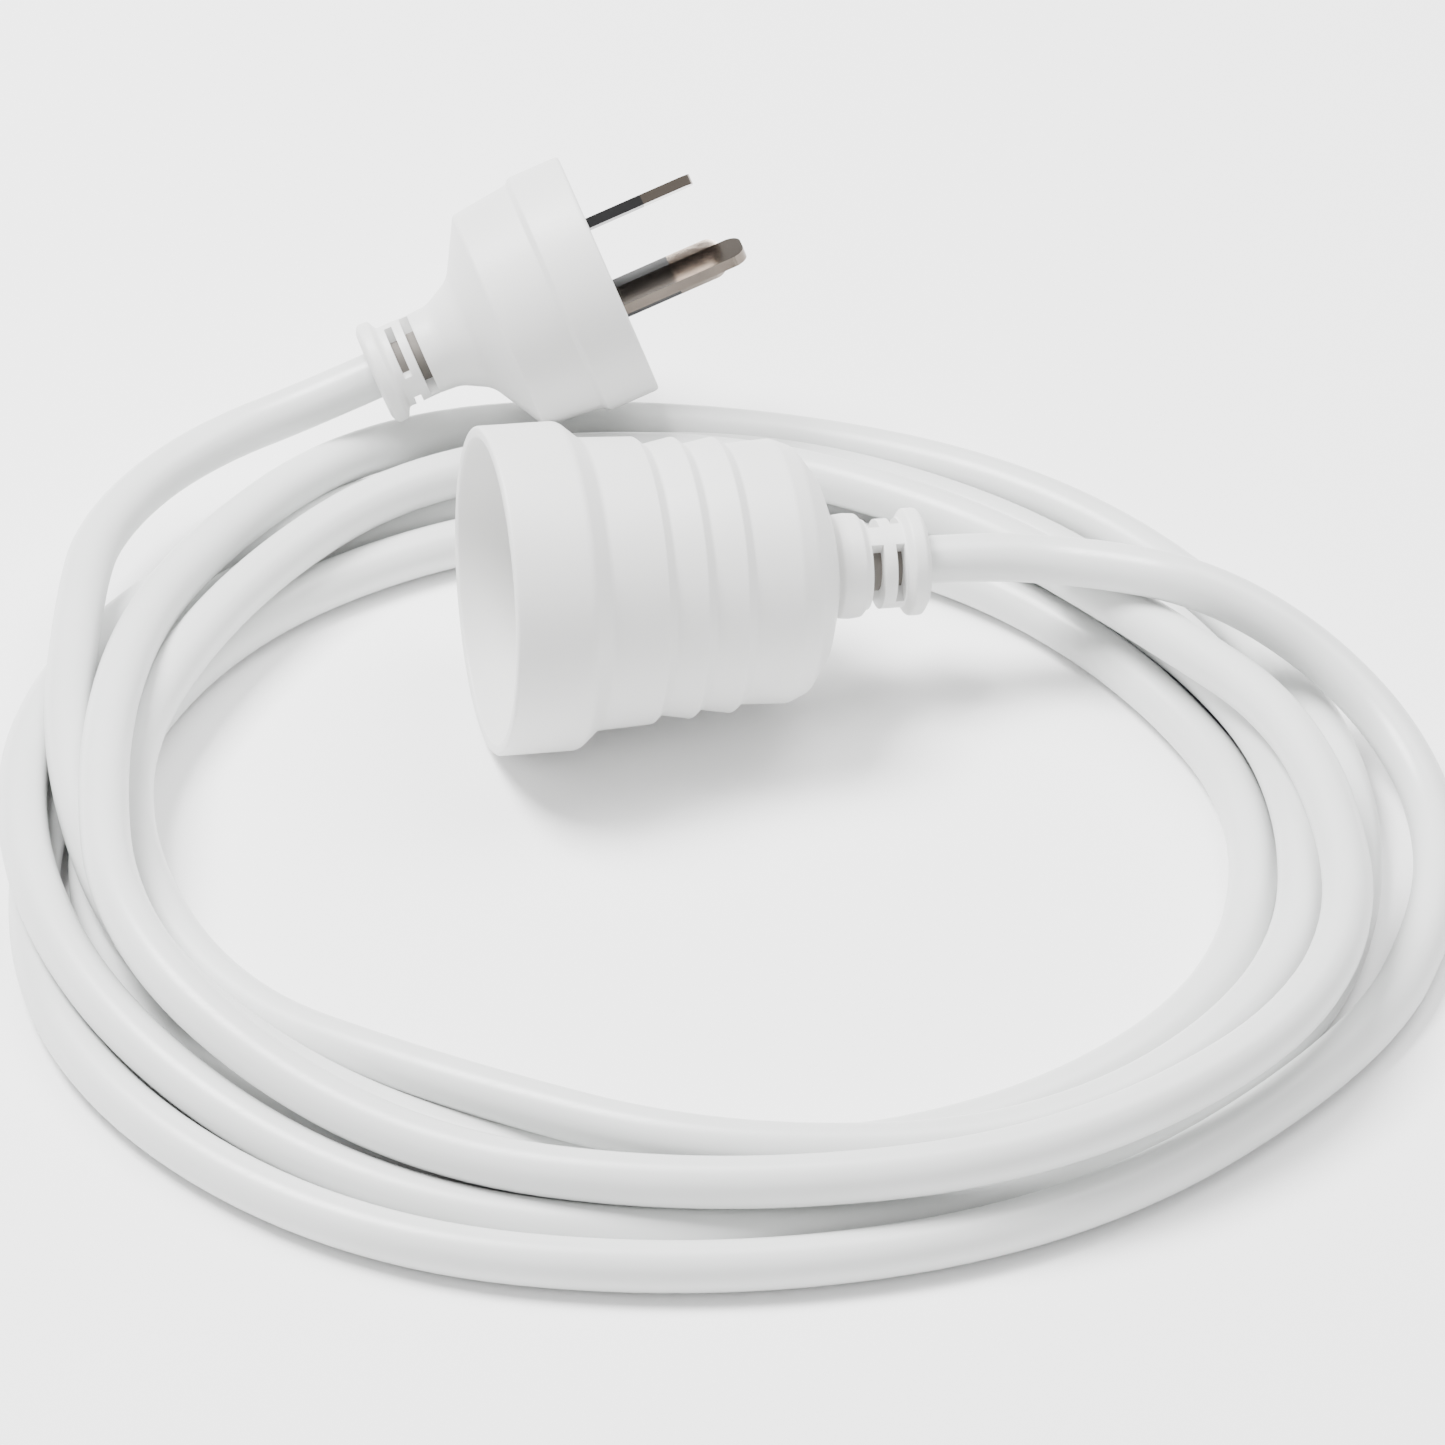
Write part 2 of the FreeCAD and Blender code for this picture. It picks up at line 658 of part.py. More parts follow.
def rounded_path(points):
    """Straight runs joined by tangent arcs, each as large as its two runs allow."""
    edges = []
    radii = []
    here = points[0]
    for before, corner, after in zip(points, points[1:], points[2:]):
        reach = ARC_REACH * min(before.distanceToPoint(corner), corner.distanceToPoint(after))
        back = (before - corner).normalize()
        ahead = (after - corner).normalize()
        half_turn = (math.pi - back.getAngle(ahead)) / 2
        radius = reach / math.tan(half_turn)
        inward = (back + ahead).normalize()
        middle = corner + inward * (radius / math.cos(half_turn) - radius)
        entry = corner + back * reach
        leave = corner + ahead * reach
        edges.append(Part.LineSegment(here, entry).toShape())
        edges.append(Part.Arc(entry, middle, leave).toShape())
        radii.append(radius)
        here = leave
    edges.append(Part.LineSegment(here, points[-1]).toShape())
    return Part.Wire(edges), radii


def make_tube(label, route):
    """Make the plain tube of a stretch of flex that is not coiled."""
    centre = Vector(value_of("ring_x"), value_of("ring_y"), 0)
    path, radii = rounded_path([centre + point for point in route])
    radius = value_of("sheath_radius")
    start = centre + route[0]
    circle = Part.Circle(start, route[1] - route[0], radius)
    tube = doc.addObject("Part::Feature", label)
    tube.Label = label
    tube.Shape = path.makePipeShell([Part.Wire(circle.toShape())], True, True)
    expected = math.pi * radius ** 2 * path.Length
    print(label, "radii", [round(radius) for radius in radii], "length", round(path.Length, 1),
          "volume over section x length", round(tube.Shape.Volume / expected, 4))
    return tube


def coil_section(angle):
    """Outline of the coil's solid at one angle about its centre, in degrees."""
    place = angle / 360 * len(COIL_ROWS)
    row = int(place)
    share = place - row
    sizes = []
    for name in ("inner", "outer", "shoulder", "height"):
        before = value_of(f"coil_{name}_{row}_rib")
        after = value_of(f"coil_{name}_{(row + 1) % len(COIL_ROWS)}_rib")
        sizes.append(before + share * (after - before))
    inner, outer, shoulder, height = sizes
    layer = 2 * value_of("sheath_radius")
    outline = [(inner, 0), (outer, 0), (outer, layer), (shoulder, height),
               (inner + COIL_EDGE, height), (inner, layer)]
    centre = Vector(value_of("ring_x"), value_of("ring_y"), 0)
    across = Vector(math.cos(math.radians(angle)), math.sin(math.radians(angle)), 0)
    corners = [centre + across * radius + Vector(0, 0, rise) for radius, rise in outline]
    return Part.makePolygon(corners + corners[:1])


def make_coil():
    """Make one closed solid of the outer shape of the coiled flex."""
    sections = [coil_section(index * 360 / COIL_SECTIONS) for index in range(COIL_SECTIONS)]
    coil = doc.addObject("Part::Feature", "coil")
    coil.Label = "coil"
    coil.Shape = Part.makeLoft(sections, True, True, True)
    return coil


def check_document(nodes):
    """Stop if any object failed or any node has no sound shape."""
    doc.recompute()
    for item in doc.Objects:
        if "Invalid" in item.State or "Error" in item.State:
            raise RuntimeError(f"{item.Name} failed: {item.State}")
    for node in nodes:
        if node.Shape.isNull() or not node.Shape.isValid() or node.Shape.Volume <= 0:
            raise RuntimeError(f"{node.Label} has no sound shape")


def export(nodes):
    """Write each node to its own file."""
    os.makedirs("parts", exist_ok=True)
    for node in nodes:
        node.Shape.exportStep(f"parts/{node.Label}.step")


fill_sheet()
NODES = make_plug() + make_socket()
NODES += [make_coil(), make_tube("plug_lead", PLUG_LEAD), make_tube("socket_lead", SOCKET_LEAD)]
check_document(NODES)
export(NODES)
print(len(NODES), "nodes")
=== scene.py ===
"""Looks of a three-pin extension lead: a moulded plug, a shrouded socket and a loose coil of white flex.

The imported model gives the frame, the pins, the sleeves and every inner piece. This script adds the
outer mouldings with their soft edges, the slotted strain reliefs, the flex on one smooth line, the
finish of every surface, and a plain pale floor with soft light.

Lengths in the dataclass fields are millimetres; everything that is built is in metres.
"""

import json
import logging
import math
from dataclasses import dataclass, field
from enum import Enum
from typing import Iterable, Sequence

import bmesh
import bpy
from mathutils import Matrix, Vector

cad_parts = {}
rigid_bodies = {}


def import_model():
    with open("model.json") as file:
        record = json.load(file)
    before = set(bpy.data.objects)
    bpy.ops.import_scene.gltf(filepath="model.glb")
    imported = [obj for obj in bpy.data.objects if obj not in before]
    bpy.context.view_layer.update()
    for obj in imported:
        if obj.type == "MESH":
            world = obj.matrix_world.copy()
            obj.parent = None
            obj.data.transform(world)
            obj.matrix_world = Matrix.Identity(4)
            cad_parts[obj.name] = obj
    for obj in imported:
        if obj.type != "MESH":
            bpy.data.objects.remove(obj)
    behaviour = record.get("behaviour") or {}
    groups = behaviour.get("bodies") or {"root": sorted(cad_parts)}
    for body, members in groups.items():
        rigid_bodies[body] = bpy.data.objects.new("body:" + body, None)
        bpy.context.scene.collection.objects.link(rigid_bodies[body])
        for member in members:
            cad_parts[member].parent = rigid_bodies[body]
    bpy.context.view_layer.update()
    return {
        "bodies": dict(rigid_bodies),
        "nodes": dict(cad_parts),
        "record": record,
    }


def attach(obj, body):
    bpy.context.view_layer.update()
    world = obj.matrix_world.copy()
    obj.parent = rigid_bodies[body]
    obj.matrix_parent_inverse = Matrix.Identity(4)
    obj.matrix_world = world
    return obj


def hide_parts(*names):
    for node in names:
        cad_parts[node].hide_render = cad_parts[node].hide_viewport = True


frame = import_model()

log = logging.getLogger("extension_lead")

MM = 0.001
BODY = next(iter(frame["bodies"]))
RING_CENTRE = Vector((0.2, -6.4, 0.0))

MOTTLE_SHARE = 0.35
COAT_ROUGHNESS = 0.25
SUBSURFACE_RADIUS = (1.0, 0.95, 0.9)
SUBSURFACE_DEPTH = 0.002
ROLLING_LINES = 1.5

Pair = tuple[float, float]
Triple = tuple[float, float, float]


class Slot(Enum):
    """Material slots of the record."""

    SHEATH = "white_sheath"
    MOULDING = "white_moulding"
    RIGID = "white_rigid"
    SLEEVE = "black_sleeve"
    PIN = "nickel_pin"
    CONTACT = "brass_contact"
    COPPER = "copper_strand"
    BROWN = "brown_core"
    BLUE = "blue_core"
    STRIPED = "green_yellow_core"


# ---------------------------------------------------------------------------
# Node helpers and shared effects
# ---------------------------------------------------------------------------


class NodeSheet:
    """Adds and joins nodes in one node tree."""

    def __init__(self, tree: bpy.types.NodeTree) -> None:
        """Keep the tree that nodes are added to."""
        self.tree = tree
        self.column = 0

    def add(self, kind: str, values: dict | None = None, **settings: object) -> bpy.types.Node:
        """Add a node.

        Args:
            kind: The node's type, such as ShaderNodeTexNoise.
            values: Values of its input sockets, by name.
            settings: Properties of the node itself.

        Returns:
            The new node.
        """
        node = self.tree.nodes.new(kind)
        node.location = (self.column * 190, 0)
        self.column += 1
        for name, value in settings.items():
            setattr(node, name, value)
        for name, value in (values or {}).items():
            node.inputs[name].default_value = value
        return node

    def join(self, start: bpy.types.NodeSocket, end: bpy.types.NodeSocket) -> None:
        """Join an output socket to an input socket."""
        self.tree.links.new(start, end)

    def maths(self, operation: str, first: object, second: object = 0.0) -> bpy.types.NodeSocket:
        """Combine two values or sockets with a Math node and return its output."""
        node = self.add("ShaderNodeMath", operation=operation)
        for index, item in enumerate((first, second)):
            if isinstance(item, bpy.types.NodeSocket):
                self.join(item, node.inputs[index])
            else:
                node.inputs[index].default_value = float(item)
        return node.outputs[0]

    def ramp(self, source: bpy.types.NodeSocket, low: float, high: float) -> bpy.types.NodeSocket:
        """Stretch the part of a value between low and high over 0 to 1."""
        node = self.add("ShaderNodeMapRange", {"From Min": low, "From Max": high}, clamp=True)
        self.join(source, node.inputs["Value"])
        return node.outputs["Result"]

    def blend(self, mask: bpy.types.NodeSocket, first: Triple, second: Triple) -> bpy.types.NodeSocket:
        """Mix two colours by a mask and return the colour."""
        node = self.add("ShaderNodeMix", data_type="RGBA")
        node.inputs[6].default_value = (*first, 1.0)
        node.inputs[7].default_value = (*second, 1.0)
        self.join(mask, node.inputs[0])
        return node.outputs[2]


def new_group(
    name: str, inputs: dict[str, float], outputs: Iterable[str]
) -> tuple[bpy.types.NodeTree, NodeSheet]:
    """Start a shader node group.

    Args:
        name: The group's name.
        inputs: Its input values with their defaults.
        outputs: The names of its output values.

    Returns:
        The group's tree and a sheet to add nodes with.
    """
    tree = bpy.data.node_groups.new(name, "ShaderNodeTree")
    for label, value in inputs.items():
        socket = tree.interface.new_socket(label, in_out="INPUT", socket_type="NodeSocketFloat")
        socket.default_value = value
    for label in outputs:
        tree.interface.new_socket(label, in_out="OUTPUT", socket_type="NodeSocketFloat")
    return tree, NodeSheet(tree)


def build_moulded_grain() -> bpy.types.NodeTree:
    """Build the fine spark-eroded grain and the slow unevenness of a moulded surface."""
    tree, sheet = new_group("moulded_grain", {"Scale": 1.0, "Grain": 1.0, "Swell": 1.0}, ["Height", "Mottle"])
    entry = sheet.add("NodeGroupInput")
    place = sheet.add("ShaderNodeTexCoord")
    fine = sheet.add("ShaderNodeTexNoise", {"Detail": 4.0, "Roughness": 0.6})
    wide = sheet.add("ShaderNodeTexNoise", {"Detail": 1.0, "Roughness": 0.4})
    for node, factor in ((fine, 2600.0), (wide, 110.0)):
        sheet.join(place.outputs["Object"], node.inputs["Vector"])
        sheet.join(sheet.maths("MULTIPLY", entry.outputs["Scale"], factor), node.inputs["Scale"])
    grain = sheet.maths("MULTIPLY", fine.outputs["Fac"], entry.outputs["Grain"])
    swell = sheet.maths("MULTIPLY", wide.outputs["Fac"], entry.outputs["Swell"])
    leave = sheet.add("NodeGroupOutput")
    sheet.join(sheet.maths("ADD", grain, sheet.maths("MULTIPLY", swell, 6.0)), leave.inputs["Height"])
    sheet.join(sheet.ramp(wide.outputs["Fac"], 0.35, 0.7), leave.inputs["Mottle"])
    return tree


def build_handling_marks() -> bpy.types.NodeTree:
    """Build sparse soft smudges and fine rubbed streaks, as a mask."""
    tree, sheet = new_group("handling_marks", {"Scale": 1.0, "Amount": 0.5}, ["Mask", "Streaks"])
    entry = sheet.add("NodeGroupInput")
    place = sheet.add("ShaderNodeTexCoord")
    blotch = sheet.add("ShaderNodeTexNoise", {"Detail": 5.0, "Roughness": 0.65, "Distortion": 0.4})
    streak = sheet.add("ShaderNodeTexNoise", {"Detail": 3.0, "Roughness": 0.5})
    stretch = sheet.add("ShaderNodeMapping", {"Scale": (1.0, 9.0, 9.0)})
    sheet.join(place.outputs["Object"], blotch.inputs["Vector"])
    sheet.join(place.outputs["Object"], stretch.inputs["Vector"])
    sheet.join(stretch.outputs["Vector"], streak.inputs["Vector"])
    sheet.join(sheet.maths("MULTIPLY", entry.outputs["Scale"], 60.0), blotch.inputs["Scale"])
    sheet.join(sheet.maths("MULTIPLY", entry.outputs["Scale"], 240.0), streak.inputs["Scale"])
    leave = sheet.add("NodeGroupOutput")
    soft = sheet.ramp(blotch.outputs["Fac"], 0.52, 0.78)
    sheet.join(sheet.maths("MULTIPLY", soft, entry.outputs["Amount"]), leave.inputs["Mask"])
    sheet.join(sheet.ramp(streak.outputs["Fac"], 0.45, 0.75), leave.inputs["Streaks"])
    return tree


class Effects:
    """The shared effects, each built once."""

    def __init__(self) -> None:
        """Build every shared node group."""
        self.grain = build_moulded_grain()
        self.marks = build_handling_marks()


# ---------------------------------------------------------------------------
# Finishes
# ---------------------------------------------------------------------------


@dataclass(frozen=True)
class Finish:
    """What every finish has: a name, a colour and its lightest and darkest shade."""

    name: str
    colour: Triple
    shade: Triple
    roughness: float = 0.4
    roughness_spread: float = 0.08
    bump: float = 0.1
    depth: float = 0.00002
    grain_scale: float = 1.0
    grain: float = 1.0
    swell: float = 0.3
    marks: float = 0.3
    metallic: float = 0.0
    specular: float = 0.5
    coat: float = 0.0
    subsurface: float = 0.0

    def material(self, effects: Effects) -> bpy.types.Material:
        """Build the material.

        Args:
            effects: The shared node groups.

        Returns:
            The finished material.
        """
        material = bpy.data.materials.new(self.name)
        material.use_nodes = True
        material.diffuse_color = (*self.colour, 1.0)
        tree = material.node_tree
        tree.nodes.clear()
        sheet = NodeSheet(tree)
        grain = sheet.add("ShaderNodeGroup", node_tree=effects.grain)
        for label, value in (("Scale", self.grain_scale), ("Grain", self.grain), ("Swell", self.swell)):
            grain.inputs[label].default_value = value
        marks = sheet.add("ShaderNodeGroup", node_tree=effects.marks)
        marks.inputs["Amount"].default_value = self.marks
        shader = sheet.add("ShaderNodeBsdfPrincipled")
        shader.inputs["Metallic"].default_value = self.metallic
        shader.inputs["Specular IOR Level"].default_value = self.specular
        shader.inputs["Coat Weight"].default_value = self.coat
        shader.inputs["Coat Roughness"].default_value = COAT_ROUGHNESS
        shader.inputs["Subsurface Weight"].default_value = self.subsurface
        shader.inputs["Subsurface Radius"].default_value = SUBSURFACE_RADIUS
        shader.inputs["Subsurface Scale"].default_value = SUBSURFACE_DEPTH
        sheet.join(self.colour_socket(sheet, grain, marks), shader.inputs["Base Color"])
        rough = sheet.maths("MULTIPLY", marks.outputs["Streaks"], self.roughness_spread)
        sheet.join(sheet.maths("ADD", rough, self.roughness), shader.inputs["Roughness"])
        bump = sheet.add("ShaderNodeBump", {"Strength": self.bump, "Distance": self.depth})
        sheet.join(self.height_socket(sheet, grain, marks), bump.inputs["Height"])
        sheet.join(bump.outputs["Normal"], shader.inputs["Normal"])
        output = sheet.add("ShaderNodeOutputMaterial")
        sheet.join(shader.outputs["BSDF"], output.inputs["Surface"])
        return material

    def colour_socket(
        self, sheet: NodeSheet, grain: bpy.types.Node, marks: bpy.types.Node
    ) -> bpy.types.NodeSocket:
        """Colour of the surface: its own shade variation, darkened a little where it is handled."""
        mottle = sheet.maths("MULTIPLY", grain.outputs["Mottle"], MOTTLE_SHARE)
        mask = sheet.maths("MAXIMUM", mottle, marks.outputs["Mask"])
        return sheet.blend(mask, self.colour, self.shade)

    def height_socket(
        self, sheet: NodeSheet, grain: bpy.types.Node, marks: bpy.types.Node
    ) -> bpy.types.NodeSocket:
        """Height of the surface for its bump."""
        return grain.outputs["Height"]


@dataclass(frozen=True)
class MetalFinish(Finish):
    """Plated or plain metal with fine rolling lines along its length."""

    def height_socket(
        self, sheet: NodeSheet, grain: bpy.types.Node, marks: bpy.types.Node
    ) -> bpy.types.NodeSocket:
        """Fine grain with rubbed streaks over it."""
        lines = sheet.maths("MULTIPLY", marks.outputs["Streaks"], ROLLING_LINES)
        return sheet.maths("ADD", grain.outputs["Height"], lines)


@dataclass(frozen=True)
class StripedFinish(Finish):
    """Core insulation in two colours that run along it."""

    second: Triple = (0.75, 0.62, 0.03)

    def colour_socket(
        self, sheet: NodeSheet, grain: bpy.types.Node, marks: bpy.types.Node
    ) -> bpy.types.NodeSocket:
        """Two colours side by side round the core."""
        place = sheet.add("ShaderNodeTexCoord")
        parts = sheet.add("ShaderNodeSeparateXYZ")
        sheet.join(place.outputs["Normal"], parts.inputs["Vector"])
        side = sheet.ramp(parts.outputs["Z"], -0.25, -0.15)
        return sheet.blend(side, self.colour, self.second)


FINISHES: dict[Slot, Finish] = {
    Slot.SHEATH: Finish(
        "white_flex_sheath", (0.72, 0.73, 0.725), (0.67, 0.68, 0.665), roughness=0.30, roughness_spread=0.10,
        bump=0.22, depth=0.00003, grain_scale=0.7, grain=0.6, swell=0.8, marks=0.25, subsurface=0.06),
    Slot.MOULDING: Finish(
        "white_moulded_body", (0.77, 0.77, 0.762), (0.72, 0.72, 0.71), roughness=0.42, roughness_spread=0.08,
        bump=0.30, depth=0.00003, grain_scale=0.8, grain=1.0, swell=0.25, marks=0.2, subsurface=0.06),
    Slot.RIGID: Finish(
        "white_rigid_plastic", (0.80, 0.80, 0.79), (0.74, 0.74, 0.72), roughness=0.5, bump=0.15, marks=0.2),
    Slot.SLEEVE: Finish(
        "black_pin_sleeve", (0.010, 0.010, 0.011), (0.016, 0.016, 0.016), roughness=0.30,
        roughness_spread=0.05, bump=0.04, depth=0.00001, grain=0.5, marks=0.4, specular=0.35),
    Slot.PIN: MetalFinish(
        "nickel_plated_pin", (0.22, 0.19, 0.165), (0.13, 0.105, 0.085), roughness=0.14, roughness_spread=0.06,
        bump=0.03, depth=0.000005, grain=0.3, swell=0.4, marks=0.6, metallic=1.0),
    Slot.CONTACT: MetalFinish(
        "plain_brass_contact", (0.78, 0.58, 0.28), (0.60, 0.42, 0.20),
        roughness=0.25, bump=0.1, metallic=1.0),
    Slot.COPPER: MetalFinish(
        "plain_copper_strand", (0.85, 0.45, 0.30), (0.60, 0.28, 0.16), roughness=0.3, bump=0.2, metallic=1.0),
    Slot.BROWN: Finish("brown_insulation", (0.16, 0.07, 0.035), (0.11, 0.05, 0.03), roughness=0.45),
    Slot.BLUE: Finish("light_blue_insulation", (0.13, 0.32, 0.62), (0.10, 0.25, 0.50), roughness=0.45),
    Slot.STRIPED: StripedFinish(
        "green_yellow_insulation", (0.07, 0.36, 0.07), (0.05, 0.28, 0.05),
        roughness=0.45),
}


# Painted shade: a dark grey-brown colour for the floors of the strain reliefs' slots, standing in for the
# shade that falls in them.
SLOT_FLOOR_SHADE = Finish(
    "painted_shade_slot_floor", (0.17, 0.155, 0.14), (0.12, 0.11, 0.095), roughness=0.7, bump=0.3, marks=0.6)


class Wardrobe:
    """Every finished material, by slot."""

    def __init__(self) -> None:
        """Build all the materials once."""
        effects = Effects()
        self.materials = {slot: finish.material(effects) for slot, finish in FINISHES.items()}
        # The slot floors' material paints shade into them.
        self.painted_slot_shade = SLOT_FLOOR_SHADE.material(effects)

    def dress(self, piece: bpy.types.Object, slot: Slot) -> None:
        """Give a new piece its material."""
        piece.data.materials.append(self.materials[slot])

    def paint_slot_shade(self, piece: bpy.types.Object) -> None:
        """Add the darker material that paints shade into the sunk faces of a moulding, if it has any."""
        if any(face.material_index for face in piece.data.polygons):
            piece.data.materials.append(self.painted_slot_shade)

    def dress_node(self, node: bpy.types.Object, slot: Slot) -> None:
        """Give a carried-over node its material in its own material slots."""
        for material_slot in node.material_slots:
            material_slot.material = self.materials[slot]


# ---------------------------------------------------------------------------
# Shapes
# ---------------------------------------------------------------------------


@dataclass(frozen=True)
class Corner:
    """A corner of a turned outline: its radius, its depth behind the face, and its rounding."""

    radius: float
    depth: float
    rounding: float = 0.0


def rounded_outline(corners: Sequence[Corner], steps: int = 7) -> list[Pair]:
    """Round the corners of an open outline with tangent arcs.

    Args:
        corners: The outline's corners in order, in millimetres.
        steps: Points on each arc.

    Returns:
        Pairs of radius and depth.
    """
    points = [(corners[0].radius, corners[0].depth)]
    for before, corner, after in zip(corners, corners[1:], corners[2:]):
        here = Vector((corner.radius, corner.depth))
        back = Vector((before.radius, before.depth)) - here
        ahead = Vector((after.radius, after.depth)) - here
        half = back.angle(ahead) / 2
        reach = min(corner.rounding / math.tan(half), 0.49 * back.length, 0.49 * ahead.length)
        if reach < 0.01:
            points.append((here.x, here.y))
            continue
        entry = here + back.normalized() * reach
        leave = here + ahead.normalized() * reach
        for step in range(steps + 1):
            share = step / steps
            spot = entry * (1 - share) ** 2 + here * 2 * share * (1 - share) + leave * share ** 2
            points.append((spot.x, spot.y))
    points.append((corners[-1].radius, corners[-1].depth))
    return points


def mesh_object(name: str, mesh: bmesh.types.BMesh, place: Matrix) -> bpy.types.Object:
    """Turn a bmesh in millimetres into an object in metres, laid in the lead's frame.

    Args:
        name: The piece's name.
        mesh: Its mesh, which is used up.
        place: The axes that it is drawn in, in millimetres.

    Returns:
        The new object.
    """
    bmesh.ops.remove_doubles(mesh, verts=mesh.verts, dist=1e-5)
    bmesh.ops.recalc_face_normals(mesh, faces=mesh.faces)
    mesh.transform(Matrix.Scale(MM, 4) @ place)
    data = bpy.data.meshes.new(name)
    mesh.to_mesh(data)
    mesh.free()
    data.shade_smooth()
    piece = bpy.data.objects.new(name, data)
    bpy.context.scene.collection.objects.link(piece)
    return piece


def turned_mesh(outline: Sequence[Pair], segments: int) -> bmesh.types.BMesh:
    """Turn an open outline round Z into a closed skin.

    Args:
        outline: Pairs of radius and depth. It starts and ends on the axis, or closes on itself.
        segments: Steps round the axis.

    Returns:
        The mesh, in millimetres.
    """
    mesh = bmesh.new()
    rings = []
    for radius, depth in outline:
        if radius < 1e-6:
            rings.append([mesh.verts.new((0, 0, -depth))])
            continue
        ring = []
        for index in range(segments):
            turn = math.tau * index / segments
            ring.append(mesh.verts.new((radius * math.cos(turn), radius * math.sin(turn), -depth)))
        rings.append(ring)
    for first, second in zip(rings, rings[1:]):
        for index in range(segments):
            following = (index + 1) % segments
            corners = [first[index % len(first)], first[following % len(first)],
                       second[following % len(second)], second[index % len(second)]]
            unique = list(dict.fromkeys(corners))
            if len(unique) > 2:
                mesh.faces.new(unique)
    return mesh


@dataclass(frozen=True)
class SlotRow:
    """A row of slots round a strain relief."""

    start: float
    end: float
    centre: float
    angle: float
    count: int

    def holds(self, depth: float, turn: float) -> bool:
        """Whether a spot of the surface is in one of the slots."""
        if not self.start < depth < self.end:
            return False
        pitch = 360.0 / self.count
        offset = (turn - self.centre + pitch / 2) % pitch - pitch / 2
        return abs(offset) < self.angle / 2


@dataclass
class StrainRelief:
    """The slotted sleeve that grips the flex behind a moulding."""

    name: str
    rings: Sequence[Pair]
    rows: Sequence[SlotRow]
    bore_radius: float = 3.62
    floor_radius: float = 3.9
    segments: int = 120
    rounding: float = 0.7
    edge: float = 0.14

    def profile(self) -> list[Pair]:
        """Round the sleeve's outline, with a point at each edge of a slot.

        Returns:
            Pairs of radius and depth.
        """
        outline = rounded_outline([Corner(radius, depth, self.rounding) for radius, depth in self.rings], 5)
        for edge in sorted({edge for row in self.rows for edge in (row.start, row.end)}):
            for index, ((radius, depth), (next_radius, next_depth)) in enumerate(zip(outline, outline[1:])):
                if depth + 0.02 < edge < next_depth - 0.02:
                    share = (edge - depth) / (next_depth - depth)
                    outline.insert(index + 1, (radius + share * (next_radius - radius), edge))
                    break
        return outline

    def mesh(self) -> bmesh.types.BMesh:
        """Build the sleeve from cells that stand at its outside or at the floor of a slot.

        Returns:
            The mesh, in millimetres.
        """
        mesh = bmesh.new()
        rings = self.profile()
        spots: dict[tuple[int, int, bool], bmesh.types.BMVert] = {}

        def spot(ring: int, step: int, sunk: bool) -> bmesh.types.BMVert:
            """One corner of a cell, made once."""
            key = (ring, step % self.segments, sunk)
            if key not in spots:
                radius, depth = rings[ring]
                turn = math.tau * key[1] / self.segments
                reach = self.floor_radius if sunk else radius
                spots[key] = mesh.verts.new((reach * math.cos(turn), reach * math.sin(turn), -depth))
            return spots[key]

        middles = [(first[1] + second[1]) / 2 for first, second in zip(rings, rings[1:])]
        sunk = [[self.is_sunk(middle, step) for step in range(self.segments)] for middle in middles]
        for ring, row in enumerate(sunk):
            for step, low in enumerate(row):
                following = step + 1
                cell = mesh.faces.new((spot(ring, step, low), spot(ring, following, low),
                                       spot(ring + 1, following, low), spot(ring + 1, step, low)))
                # Slot floors take the second material, which paints shade into them.
                cell.material_index = int(low)
                if low != row[following % self.segments]:
                    mesh.faces.new((spot(ring, following, False), spot(ring, following, True),
                                    spot(ring + 1, following, True), spot(ring + 1, following, False)))
                if ring + 1 < len(sunk) and low != sunk[ring + 1][step]:
                    mesh.faces.new((spot(ring + 1, step, False), spot(ring + 1, step, True),
                                    spot(ring + 1, following, True), spot(ring + 1, following, False)))
        self.close_bore(mesh, [[spot(ring, step, False) for step in range(self.segments)]
                               for ring in (0, len(rings) - 1)])
        return mesh

    def is_sunk(self, depth: float, step: int) -> bool:
        """Whether the cell at a depth and a step round the sleeve is in a slot."""
        turn = 360.0 * (step + 0.5) / self.segments
        return any(row.holds(depth, turn) for row in self.rows)

    def close_bore(self, mesh: bmesh.types.BMesh, ends: Sequence[Sequence[bmesh.types.BMVert]]) -> None:
        """Add both end faces and the bore between them."""
        bores = []
        for end in ends:
            bore = []
            for corner in end:
                flat = Vector((corner.co.x, corner.co.y)).normalized() * self.bore_radius
                bore.append(mesh.verts.new((flat.x, flat.y, corner.co.z)))
            bores.append(bore)
        for outer, inner in ((ends[0], bores[0]), (ends[1], bores[1]), (bores[0], bores[1])):
            for step in range(self.segments):
                following = (step + 1) % self.segments
                mesh.faces.new((outer[step], outer[following], inner[following], inner[step]))

    def build(self, place: Matrix) -> bpy.types.Object:
        """Build the piece with softened edges."""
        piece = mesh_object(self.name, self.mesh(), place)
        bevel = piece.modifiers.new("soft_edges", "BEVEL")
        bevel.width = self.edge * MM
        bevel.segments = 3
        bevel.limit_method = "ANGLE"
        bevel.angle_limit = math.radians(28)
        bevel.harden_normals = False
        return piece


def axes_at(base: Triple, forward: Triple, upright: Triple) -> Matrix:
    """Axes of the plug or the socket in the lead's frame, in millimetres.

    Args:
        base: Where its origin is from the centre of the coil.
        forward: Its Z axis.
        upright: Roughly its Y axis.

    Returns:
        The matrix that lays it in the frame.
    """
    z_axis = Vector(forward).normalized()
    x_axis = Vector(upright).cross(z_axis).normalized()
    y_axis = z_axis.cross(x_axis)
    turn = Matrix((x_axis, y_axis, z_axis)).transposed().to_4x4()
    return Matrix.Translation(Vector(base) + RING_CENTRE) @ turn


# ---------------------------------------------------------------------------
# Sub-assemblies
# ---------------------------------------------------------------------------


